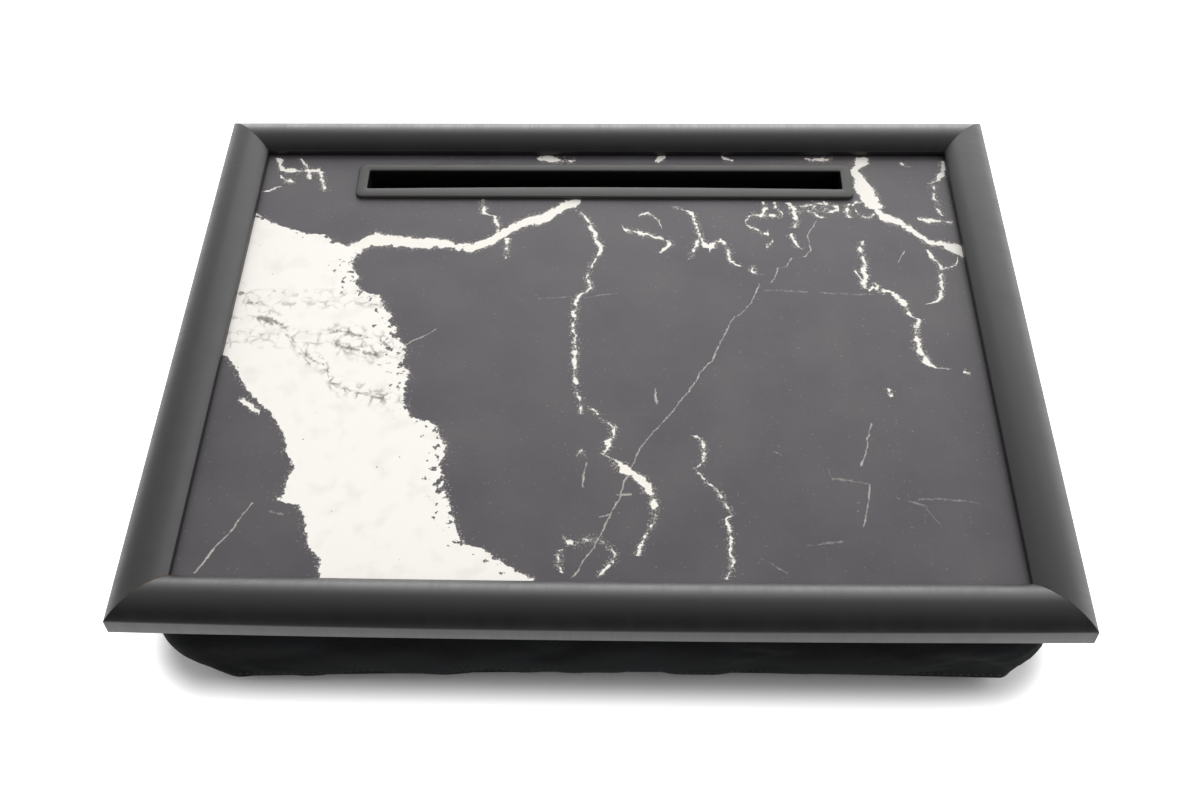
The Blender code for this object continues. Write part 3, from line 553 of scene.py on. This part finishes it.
def slot_plan(half, front, back, corner, bow, height):
    """A rectangle in plan with round corners, its front side bowed towards the back."""
    loop = []
    centres = ((half, front, 1, -1), (half, back, 1, 1), (-half, back, -1, 1), (-half, front, -1, -1))
    for quarter, (end, side, out_x, out_y) in enumerate(centres):
        for step in range(corner_steps + 1):
            angle = math.radians(90) * (quarter - 1 + step / corner_steps)
            centre_x, centre_y = end - out_x * corner, side - out_y * corner
            loop.append((centre_x + corner * math.cos(angle), centre_y + corner * math.sin(angle)))
        if quarter in (1, 3):
            for step in range(1, side_steps):
                run = (half - corner) * (1 - 2 * step / side_steps) * (1 if quarter == 1 else -1)
                loop.append((run, side))
    return [
        Vector((a, b + bow * math.cos(math.pi * a / (2 * half)) * (b < (front + back) / 2), height))
        for a, b in loop
    ]


def walled(bm, loops, closed_first=False, closed_last=False):
    """Walls between matched loops, with a face over the first or the last where asked."""
    rows = [[bm.verts.new(point) for point in loop] for loop in loops]
    faces = []
    for near, far in zip(rows, rows[1:]):
        for i in range(len(near)):
            j = (i + 1) % len(near)
            faces.append(bm.faces.new((near[i], near[j], far[j], far[i])))
    if closed_first:
        faces.append(bm.faces.new(rows[0]))
    if closed_last:
        faces.append(bm.faces.new(rows[-1]))
    return rows, faces


# Moulded polypropylene: black with a fine spark-eroded grain that scatters reflections into a soft grey.
# The grain is 0.15 mm on the real one and 0.4 mm here to show.
plastic, tree, shader = new_finish("black_moulded_plastic", Base_Color=linear("#302f2d"), IOR=1.49)
place = add(tree, "NewGeometry")
grain = add(tree, "TexNoise", {"Vector": place, "Scale": 1 / (0.4 * mm), "Detail": 2.0})
wiped = patches(tree, place, 22 * mm, 2.0, 0.3, 0.7, least=0.33, most=0.4)
tree.links.new(wiped, shader.inputs["Roughness"])
add(tree, "Bump", {"Height": grain, "Strength": 0.3, "Distance": 0.03 * mm}, to=shader.inputs["Normal"])

# Inside the trough the same plastic is smooth and matt, painted near black with weak reflections: painted
# shade for the trough's deep shadow.
painted_shade_plastic, tree, shader = new_finish("trough_plastic_painted_shade", Specular_IOR_Level=0.15, Roughness=0.7)
mottled(tree, shader, 2 * mm, 3.0, "#040404", "#090909")

bm = bmesh.new()
flange_half = insert_high.x
top = insert_high.z
loops = [slot_plan(flange_half, insert_low.y, insert_high.y, flange_corner, 0, flange_base)]
for step in range(round_steps + 1):
    angle = math.radians(90) * step / round_steps
    inset, drop = flange_round * (1 - math.cos(angle)), flange_round * (1 - math.sin(angle))
    loops.append(slot_plan(flange_half - inset, insert_low.y + inset, insert_high.y - inset,
                           flange_corner - inset, 0, top - drop))
for step in range(round_steps + 1):
    angle = math.radians(90) * step / round_steps
    grow, drop = mouth_round * (1 - math.sin(angle)), mouth_round * (1 - math.cos(angle))
    loops.append(slot_plan(slot_half + grow, slot_front - grow, slot_back + grow, mouth_corner + grow,
                           slot_bow, top - drop))
loops.append(slot_plan(slot_half, slot_front, slot_back, mouth_corner, slot_bow, slot_floor))
rows, faces = walled(bm, loops, closed_last=True)
# The trough's walls and floor take the painted-shade plastic.
for face in faces[-len(rows[-1]) - 1:]:
    face.material_index = 1
wall_plan = (slot_half + trough_wall, slot_front - trough_wall, slot_back + trough_wall, trough_corner,
             slot_bow)
walled(bm, [
    slot_plan(flange_half, insert_low.y, insert_high.y, flange_corner, 0, flange_base),
    slot_plan(*wall_plan, flange_base),
    slot_plan(*wall_plan, insert_low.z),
], closed_last=True)
bmesh.ops.remove_doubles(bm, verts=bm.verts, dist=0.001 * mm)
catch_top = board_base - clearance
for share in catch_places:
    middle = share * 2 * slot_half
    bowed = slot_front - trough_wall + slot_bow * math.cos(math.pi * middle / (2 * slot_half))
    for wall_y, out in ((bowed, -1), (slot_back + trough_wall, 1)):
        root_y = wall_y - out * catch_root
        wedge = [(root_y, catch_top), (wall_y + out * catch_reach, catch_top),
                 (wall_y, catch_top - catch_height), (root_y, catch_top - catch_height)]
        ends = [[Vector((middle + end * catch_half, b, c)) for b, c in wedge] for end in (-1, 1)]
        walled(bm, ends, closed_first=True, closed_last=True)
insert = shown("slot_moulding", bm, (plastic, painted_shade_plastic))
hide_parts("tablet_slot_insert")

# Cushion. A loose bag of foam beads under the frame. Its cover is cut from charcoal polyester in a side
# band and a base, sewn together 9 mm above the floor, and its top edge is stapled flat under the rails.
# The bag sags a little askew, rounder at the left and drawn to a point at the right.
hem_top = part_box("cushion_cover")[1].z
top_cloth_low, top_cloth_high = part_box("cushion_top_cloth")
cloth = 0.8 * mm
hem_inset, hem_corner = 7 * mm, 16 * mm
# Each level of the bag: its insets at the left, the right, and the front and back, the radii of its left
# and right corners, how far its sides draw in, all in millimetres, and its twist in degrees.
hem_level = (7, 7, 7, 16, 16, 0, 0)
neck = (17, 17, 17, 14, 14, 0, 0)
belly = (14.5, 10.5, 5.5, 19, 19, 1, 0.3)
seam = (34, 24.5, 6.4, 17, 6, 2.6, 0.6)
base = (48, 38.5, 20.4, 17, 6, 2.6, 0.6)
neck_z, belly_z, seam_z = hem_top - cloth, 32 * mm, 9 * mm
around_steps, across_steps, bend_steps = 108, 80, 9
swelling_frames, smoothings, most_out, most_in = 20, 6, 2.6 * mm, 0.1 * mm
fold_depth, right_fold_depth, dent_depth, seam_ridge = 0.1 * mm, 0.6 * mm, 0.8 * mm, 0.5 * mm


def bag_loop(level, height, inset=0.0):
    """Points round the bag at one level, its sides drawn in between the corners."""
    left, right, ends, corner_left, corner_right, pull, twist = level
    high_x, low_x = half_length - right * mm - inset, -half_length + left * mm + inset
    side_y = half_depth - ends * mm - inset
    corners = ((high_x, -side_y, corner_right, -1), (high_x, side_y, corner_right, 0),
               (low_x, side_y, corner_left, 1), (low_x, -side_y, corner_left, 2))
    arcs = []
    for a, b, corner, quarter in corners:
        corner *= mm
        centre = Vector((a - math.copysign(corner, a), b - math.copysign(corner, b), 0))
        angles = [math.radians(90) * (quarter + step / bend_steps) for step in range(bend_steps + 1)]
        arcs.append([centre + corner * Vector((math.cos(t), math.sin(t), 0)) for t in angles])
    loop = []
    for number, arc in enumerate(arcs):
        loop += arc
        start, end = arc[-1], arcs[(number + 1) % 4][0]
        out = Vector(((end - start).y, -(end - start).x, 0)).normalized()
        steps = across_steps if number % 2 == 0 else around_steps
        for step in range(1, steps):
            share = step / steps
            sink = pull * mm * math.sin(math.pi * share)
            loop.append(start.lerp(end, share) - out * sink)
    lean = math.tan(math.radians(twist))
    return [Vector((p.x, p.y + p.x * lean, height)) for p in loop]


def bag_levels(inset, steps):
    """The bag's loops from its neck, round its belly and its seam, to the flat it rests on."""
    # Under the seam the cloth rolls in along an arc, whose slope goes from 'start' to 'end' in radians.
    start, end = 0.35, math.asin(seam_z / (seam_z + 0.5 * mm))

    def rolled(t):
        slope = start + t * (end - start)
        return ((math.cos(start) - math.cos(slope)) / (math.cos(start) - math.cos(end)),
                (math.sin(slope) - math.sin(start)) / (math.sin(end) - math.sin(start)))

    stops = (
        (neck, belly, neck_z, belly_z, lambda t: (math.sin(t * math.pi / 2), t)),
        (belly, seam, belly_z, seam_z, lambda t: (1 - math.cos(t * math.pi / 2), t)),
        (seam, base, seam_z, 0, rolled),
    )
    loops = []
    for upper, lower, high, low, ease in stops:
        for step in range(1 if loops else 0, steps + 1):
            outward, downward = ease(step / steps)
            level = [a + (b - a) * outward for a, b in zip(upper, lower)]
            height = high + (low - high) * downward
            loops.append(bag_loop(level, max(height, inset), inset))
    return loops


def closed_in(loops, rings):
    """Loops drawn in from the last one towards its middle, so that it can be closed flat."""
    last = loops[-1]
    middle = sum(last, Vector()) / len(last)
    return [[middle + (p - middle) * (1 - ring / (rings + 1)) for p in last] for ring in range(1, rings + 1)]


def plain_weave(tree, runs, pitch):
    """The height of threads that pass over and under each other, one pitch apart along two runs."""
    waves = []
    for run in runs:
        turned = add(tree, "Math", (run, 2 * math.pi / pitch), operation="MULTIPLY")
        waves.append(add(tree, "Math", (turned,), operation="SINE"))
    return add(tree, "Math", waves, operation="MULTIPLY")


# Woven polyester: a dense charcoal cloth, matt with a faint cool sheen at grazing angles. Its threads are
# 0.35 mm apart on the real one and 1 mm here to show.
woven, tree, shader = new_finish(
    "charcoal_woven_polyester", Roughness=0.9, Specular_IOR_Level=0.12, Sheen_Weight=0.02,
    Sheen_Roughness=0.4, Sheen_Tint=linear("#c9d4d2"),
)
place = add(tree, "NewGeometry")
px, py, pz = add(tree, "SeparateXYZ", (place,)).node.outputs
warp_run = add(tree, "Math", (px, py), operation="ADD")
weft_run = add(tree, "Math", (px, py), operation="SUBTRACT")
weft_run = add(tree, "Math", (pz, 1.4, weft_run), operation="MULTIPLY_ADD")
weave = plain_weave(tree, (warp_run, weft_run), 1.0 * mm)
slub = add(tree, "TexNoise", {"Vector": place, "Scale": 1 / (3 * mm), "Detail": 5.0})
tone = add(tree, "Math", (weave, 0.12, slub), operation="MULTIPLY_ADD")
tone = add(tree, "MapRange", {"Value": tone, "From Min": 0.3, "From Max": 0.75})
worn = add(tree, "Mix", {0: tone, 6: linear("#07080a"), 7: linear("#0d0e10")}, data_type="RGBA")
fade = patches(tree, place, 40 * mm, 3.0, 0.45, 0.7, most=0.5)
add(tree, "Mix", {0: fade, 6: worn, 7: linear("#16181a")},
    data_type="RGBA", to=shader.inputs["Base Color"])
add(tree, "Bump", {"Height": weave, "Strength": 0.5, "Distance": 0.12 * mm}, to=shader.inputs["Normal"])

# The cover: a hem under the rails, then the bag in one surface down to the base, swollen by the beads.
form = bag_levels(0, 10)
seam_row = 21
hem_steps = 3
hem = [
    [a.lerp(b, step / hem_steps) for a, b in zip(bag_loop(hem_level, neck_z), form[0])]
    for step in range(hem_steps)
]
rows = hem + form
rows += closed_in(rows, 9)
bm = bmesh.new()
_, faces = walled(bm, rows, closed_last=True)
bmesh.ops.reverse_faces(bm, faces=faces)
cover = placed("bag_cover", bm)
cover_mesh = cover.data
row_length = len(rows[0])
seam_at = hem_steps + seam_row - 1
flat_from = hem_steps + len(form) - 1
at_rest = [vertex.co.copy() for vertex in cover_mesh.vertices]
out_of = [vertex.normal.copy() for vertex in cover_mesh.vertices]

held = cover.vertex_groups.new(name="held")
held.add(range((hem_steps + 1) * row_length), 1.0, "REPLACE")
held.add(range(flat_from * row_length, len(at_rest)), 1.0, "REPLACE")
swelling = cover.modifiers.new("swelling", "CLOTH")
swelling.settings.quality = 6
swelling.settings.mass = 0.25
swelling.settings.tension_stiffness = 18
swelling.settings.compression_stiffness = 18
swelling.settings.bending_stiffness = 0.4
swelling.settings.use_pressure = True
swelling.settings.uniform_pressure_force = 4
swelling.settings.shrink_min = -0.035
swelling.settings.vertex_group_mass = "held"
swelling.settings.effector_weights.gravity = 0
for step in range(1, swelling_frames + 1):
    bpy.context.scene.frame_set(step)
puffed = cover.evaluated_get(bpy.context.evaluated_depsgraph_get()).to_mesh()
moved = [vertex.co.copy() for vertex in puffed.vertices]
cover.modifiers.remove(swelling)
bpy.context.scene.frame_set(1)

swell = [(moved[i] - at_rest[i]).dot(out_of[i]) for i in range(len(at_rest))]
for _ in range(smoothings):
    swell = [
        (swell[i] * 2 + swell[i - i % row_length + (i + 1) % row_length]
         + swell[i - i % row_length + (i - 1) % row_length]) / 4
        for i in range(len(swell))
    ]
for i, vertex in enumerate(cover_mesh.vertices):
    row = i // row_length
    if row <= hem_steps or row >= flat_from:
        continue
    rest = at_rest[i]
    right_end = max(0, rest.x / half_length) ** 3
    fold = math.sin(rest.z / (1.7 * mm) - rest.x / (3.4 * mm) + 3 * noise.noise(rest / (30 * mm)))
    dent = noise.noise(rest / (34 * mm))
    lift = swell[i] + (fold_depth + right_fold_depth * right_end) * fold + dent_depth * dent
    lift = most_out * math.tanh(max(lift, -most_in) / most_out)
    if row == seam_at:
        lift += seam_ridge
    ease = min(1, (row - hem_steps) / 4, (flat_from - row) / 5)
    place = rest + out_of[i] * lift * ease
    place.z = max(place.z, 0.0)
    vertex.co = place
thick = cover.modifiers.new("thick", "SOLIDIFY")
thick.thickness = cloth
thick.offset = -1
settled = cover.evaluated_get(bpy.context.evaluated_depsgraph_get())
cover.data = bpy.data.meshes.new_from_object(settled)
cover.modifiers.clear()
cover.data.materials.append(woven)
cover.data.shade_smooth()
for vertex in cover.data.vertices:
    vertex.co.z = max(vertex.co.z, 0.0)
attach(cover, "root")
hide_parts("cushion_cover")

# Thread: dark spun polyester, matt, in lock stitches 3.4 mm apart, in one row just above the seam.
thread, tree, shader = new_finish("spun_polyester_thread", Roughness=0.6, Sheen_Weight=0.2)
mottled(tree, shader, 0.5 * mm, 1.0, "#121315", "#1e1f22")
stitch_pitch, stitch_length, thread_half = 3.4 * mm, 2.6 * mm, 0.28 * mm
stitched = [cover_mesh.vertices[(seam_at - 1) * row_length + i].co.copy() for i in range(row_length)]
skin = bmesh.new()
skin.from_mesh(cover.data)
from_skin = BVHTree.FromBMesh(skin)
bm = bmesh.new()
walked, next_stitch = 0, 0
for a, b in zip(stitched, stitched[1:] + stitched[:1]):
    run = (b - a).length
    while next_stitch <= walked + run:
        at = a.lerp(b, (next_stitch - walked) / run)
        along = (b - a).normalized()
        found, out, _, _ = from_skin.find_nearest(at)
        side = along.cross(out).normalized()
        ends = [found + along * stitch_length / 2 * end - out * 0.1 * mm for end in (-1, 1)]
        ring = [found + (side * math.cos(t) + out * math.sin(t)) * thread_half
                for t in (math.radians(60 * k) for k in range(6))]
        tips = [bm.verts.new(point) for point in ends]
        girth = [bm.verts.new(point) for point in ring]
        for k in range(6):
            bm.faces.new((tips[0], girth[(k + 1) % 6], girth[k]))
            bm.faces.new((tips[1], girth[k], girth[(k + 1) % 6]))
        next_stitch += stitch_pitch
    walked += run
skin.free()
shown("seam_stitches", bm, (thread,))

# Filling: expanded foam beads of about 3 mm, pale and matt, packed against the inside of the cover.
beads, tree, shader = new_finish("expanded_foam_beads", Roughness=0.75)
place = add(tree, "NewGeometry")
packed = add(tree, "TexVoronoi", {"Vector": place, "Scale": 1 / (3 * mm)})
# The colour greys from each bead's middle to its edge: painted shade in the crevices between beads.
add(tree, "Mix", {0: packed, 6: linear("#efeee9"), 7: linear("#bdbbb4")},
    data_type="RGBA", to=shader.inputs["Base Color"])
add(tree, "Bump", {"Height": packed, "Strength": 0.8, "Distance": 1.2 * mm}, invert=True,
    to=shader.inputs["Normal"])
bead_slack, scoop_top = 0.3 * mm, 60 * mm
pocket_half, pocket_front, pocket_back = 134.6 * mm, 108.6 * mm, 129.6 * mm
pocket_floor = top_cloth_low.z - bead_slack
inside = bag_levels(cloth + bead_slack, 6)
rim = [Vector((p.x, p.y, neck_z + cloth)) for p in inside[0]]
bm = bmesh.new()
walled(bm, [rim] + inside + closed_in(inside, 5), closed_first=True, closed_last=True)
heap = shown("bead_heap", bm, (beads,), sharp_degrees=60)
bm = bmesh.new()
pocket = [(-pocket_half, pocket_front), (pocket_half, pocket_front),
          (pocket_half, pocket_back), (-pocket_half, pocket_back)]
walled(bm, [[Vector((*corner, height)) for corner in pocket] for height in (pocket_floor, scoop_top)],
       closed_first=True, closed_last=True)
bmesh.ops.recalc_face_normals(bm, faces=bm.faces)
scoop = placed("scoop", bm)
hollow = heap.modifiers.new("hollow", "BOOLEAN")
hollow.object = scoop
settled = heap.evaluated_get(bpy.context.evaluated_depsgraph_get())
heap.data = bpy.data.meshes.new_from_object(settled)
heap.modifiers.clear()
bpy.data.objects.remove(scoop)
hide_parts("bead_filling")

# Top cloth: a single layer of black lining that closes the bag under the board. It is stapled in with
# the hem and drops into a pocket round the slot's trough.
# Lining: thin plain-woven polyester, a little shinier than the cover. Threads 0.2 mm, drawn at 0.8 mm.
lining, tree, shader = new_finish("black_polyester_lining", Roughness=0.7, Sheen_Weight=0.15)
place = add(tree, "NewGeometry")
weave = plain_weave(tree, add(tree, "SeparateXYZ", (place,)).node.outputs[:2], 0.8 * mm)
shade = add(tree, "MapRange", {"Value": weave, "From Min": -1.0, "From Max": 1.0})
add(tree, "Mix", {0: shade, 6: linear("#1a1a1c"), 7: linear("#262629")},
    data_type="RGBA", to=shader.inputs["Base Color"])
add(tree, "Bump", {"Height": weave, "Strength": 0.4, "Distance": 0.08 * mm}, to=shader.inputs["Normal"])
cloth_z = top_cloth_high.z - cloth / 2
grid_x = (-190, -160, -136, -134.5, -120, -80, -40, 0, 40, 80, 120, 134.5, 136, 160, 190)
grid_y = (-140, -110, -80, -50, -20, 10, 40, 70, 95, 107, 108.8, 119, 129.4, 131, 145)
reach_x, reach_y = half_length - hem_inset - cloth / 2, half_depth - hem_inset - cloth / 2
grid_x = [-reach_x] + [a * mm for a in grid_x] + [reach_x]
grid_y = [-reach_y] + [b * mm for b in grid_y] + [reach_y]
bm = bmesh.new()
grid = {}
for i, a in enumerate(grid_x):
    for j, b in enumerate(grid_y):
        sunk = 4 <= i <= 12 and 11 <= j <= 13
        grid[i, j] = bm.verts.new((a, b, top_cloth_low.z + cloth / 2 if sunk else cloth_z))
for i in range(len(grid_x) - 1):
    for j in range(len(grid_y) - 1):
        bm.faces.new((grid[i, j], grid[i + 1, j], grid[i + 1, j + 1], grid[i, j + 1]))
corners = [grid[i, j] for i in (0, len(grid_x) - 1) for j in (0, len(grid_y) - 1)]
bmesh.ops.bevel(bm, geom=corners, offset=hem_corner * 0.9, segments=6, affect="VERTICES", profile=0.5)
top_cloth = shown("bag_top_cloth", bm, (lining,))
thick = top_cloth.modifiers.new("thick", "SOLIDIFY")
thick.thickness = cloth
thick.offset = 0
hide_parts("cushion_top_cloth")

# Floor and light. The tray stands on a smooth white sheet. A broad soft light hangs behind it, a little
# to the right and about 35 degrees up. The room is bright behind and at the right, dim overhead and dark
# in front, with white walls up to about 15 degrees all round.
floor_paint, tree, shader = new_finish("white_paper_floor_painted_glow", Base_Color=linear("#f7f7f7"), Roughness=0.9)
fibres = add(tree, "NewGeometry")
fibres = add(tree, "TexNoise", {"Vector": fibres, "Scale": 1 / (6 * mm), "Detail": 3.0})
add(tree, "Bump", {"Height": fibres, "Strength": 0.05, "Distance": 0.05 * mm}, to=shader.inputs["Normal"])
# Beyond the contact shadow the sheet glows plain white for camera, glossy and transmission rays, as a lit
# backdrop would look: painted light that fades in 18 to 40 mm outside a box round the bag, ending the shadow
# there.
bag_half_x, bag_half_y, shade_from, shade_to = 182 * mm, 137 * mm, 18 * mm, 40 * mm
spot = add(tree, "NewGeometry")
past_bag = []
for run, half in zip(add(tree, "SeparateXYZ", (spot,)).node.outputs, (bag_half_x, bag_half_y)):
    off = add(tree, "Math", (run,), operation="ABSOLUTE")
    off = add(tree, "Math", (off, half), operation="SUBTRACT")
    past_bag.append(add(tree, "Math", (off, 0.0), operation="MAXIMUM"))
off = add(tree, "CombineXYZ", past_bag)
off = add(tree, "VectorMath", (off,), operation="LENGTH")
painted_glow_share = add(tree, "MapRange", {"Value": off, "From Min": shade_from, "From Max": shade_to},
           interpolation_type="SMOOTHSTEP")
rays = add(tree, "LightPath").node.outputs
seen = add(tree, "Math", (rays["Is Camera Ray"], rays["Is Glossy Ray"]), operation="MAXIMUM")
seen = add(tree, "Math", (seen, rays["Is Transmission Ray"]), operation="MAXIMUM")
add(tree, "Math", (painted_glow_share, seen), operation="MULTIPLY", to=shader.inputs["Emission Strength"])
shader.inputs["Emission Color"].default_value = linear("#ffffff")
bm = bmesh.new()
reach = 20.0
corners = [bm.verts.new((a * reach, b * reach, 0)) for a, b in ((-1, -1), (1, -1), (1, 1), (-1, 1))]
bm.faces.new(corners)
placed("floor", bm, (floor_paint,))

world = bpy.data.worlds.new("soft_room")
world.use_nodes = True
bpy.context.scene.world = world
tree = world.node_tree
backdrop = tree.nodes["Background"]
room_level, right_wall_level = 6.3, 2.0
way = add(tree, "TexCoord").node.outputs["Generated"]
wx, wy, wz = add(tree, "SeparateXYZ", (way,)).node.outputs
wy = add(tree, "MapRange", {"Value": wy, "From Min": -1.0, "From Max": 1.0})
# Brightness by direction, from the front, 0, to the back, 1, as a share of the room's level.
brightness = add(tree, "FloatCurve", {"Value": wy}, points=[
    (0, 0.006), (0.07, 0.009), (0.24, 0.031), (0.5, 0.103), (0.8, 0.15), (0.92, 0.24), (1, 1),
])
brightness = add(tree, "Math", (brightness, room_level), operation="MULTIPLY")
right_wall = add(tree, "MapRange", {"Value": wx, "From Min": 0.5, "From Max": 0.95,
                                    "To Max": right_wall_level})
brightness = add(tree, "Math", (brightness, right_wall), operation="ADD")
height = add(tree, "Math", (wz,), operation="ABSOLUTE")
wall = add(tree, "MapRange", {"Value": height, "From Min": 0.22, "From Max": 0.36, "To Min": 1.0,
                              "To Max": 0.0})
add(tree, "Math", (brightness, wall), operation="MAXIMUM", to=backdrop.inputs["Strength"])
backdrop.inputs["Color"].default_value = linear("#ffffff")

window = bpy.data.lights.new("window_behind", "AREA")
window.shape = "RECTANGLE"
window.size, window.size_y, window.energy = 2.2, 1.3, 11.3
lamp = bpy.data.objects.new("window_behind", window)
lamp.location = (0.45, 1.6, 1.2)
lamp.rotation_euler = (Vector((0, 0, 0.05)) - lamp.location).to_track_quat("-Z", "Y").to_euler()
bpy.context.collection.objects.link(lamp)

# Camera. It looks down at about 50 degrees from in front and a little from the right, from where the
# whole tray and its shadow show, and is held slightly askew. The shift sets the tray in the frame.
eye = Vector((0.0096, -0.4854, 0.6186))
pitch, yaw, tilt = math.radians(49.96), math.radians(-2.68), math.radians(-1.72)
ahead = Vector((math.sin(yaw) * math.cos(pitch), math.cos(yaw) * math.cos(pitch), -math.sin(pitch)))
level_right = Vector((math.cos(yaw), -math.sin(yaw), 0))
level_up = level_right.cross(ahead)
right = level_right * math.cos(tilt) + level_up * math.sin(tilt)
up = level_up * math.cos(tilt) - level_right * math.sin(tilt)
lens = bpy.data.cameras.new("camera")
lens.lens = 43.89
lens.sensor_width = 36
lens.shift_x, lens.shift_y = 0.0202, -0.0251
lens.clip_start = 0.01
camera = bpy.data.objects.new("camera", lens)
camera.matrix_world = Matrix((right, up, -ahead)).transposed().to_4x4()
camera.location = eye
bpy.context.collection.objects.link(camera)
bpy.context.scene.camera = camera
bpy.context.scene.view_settings.view_transform = "Standard"
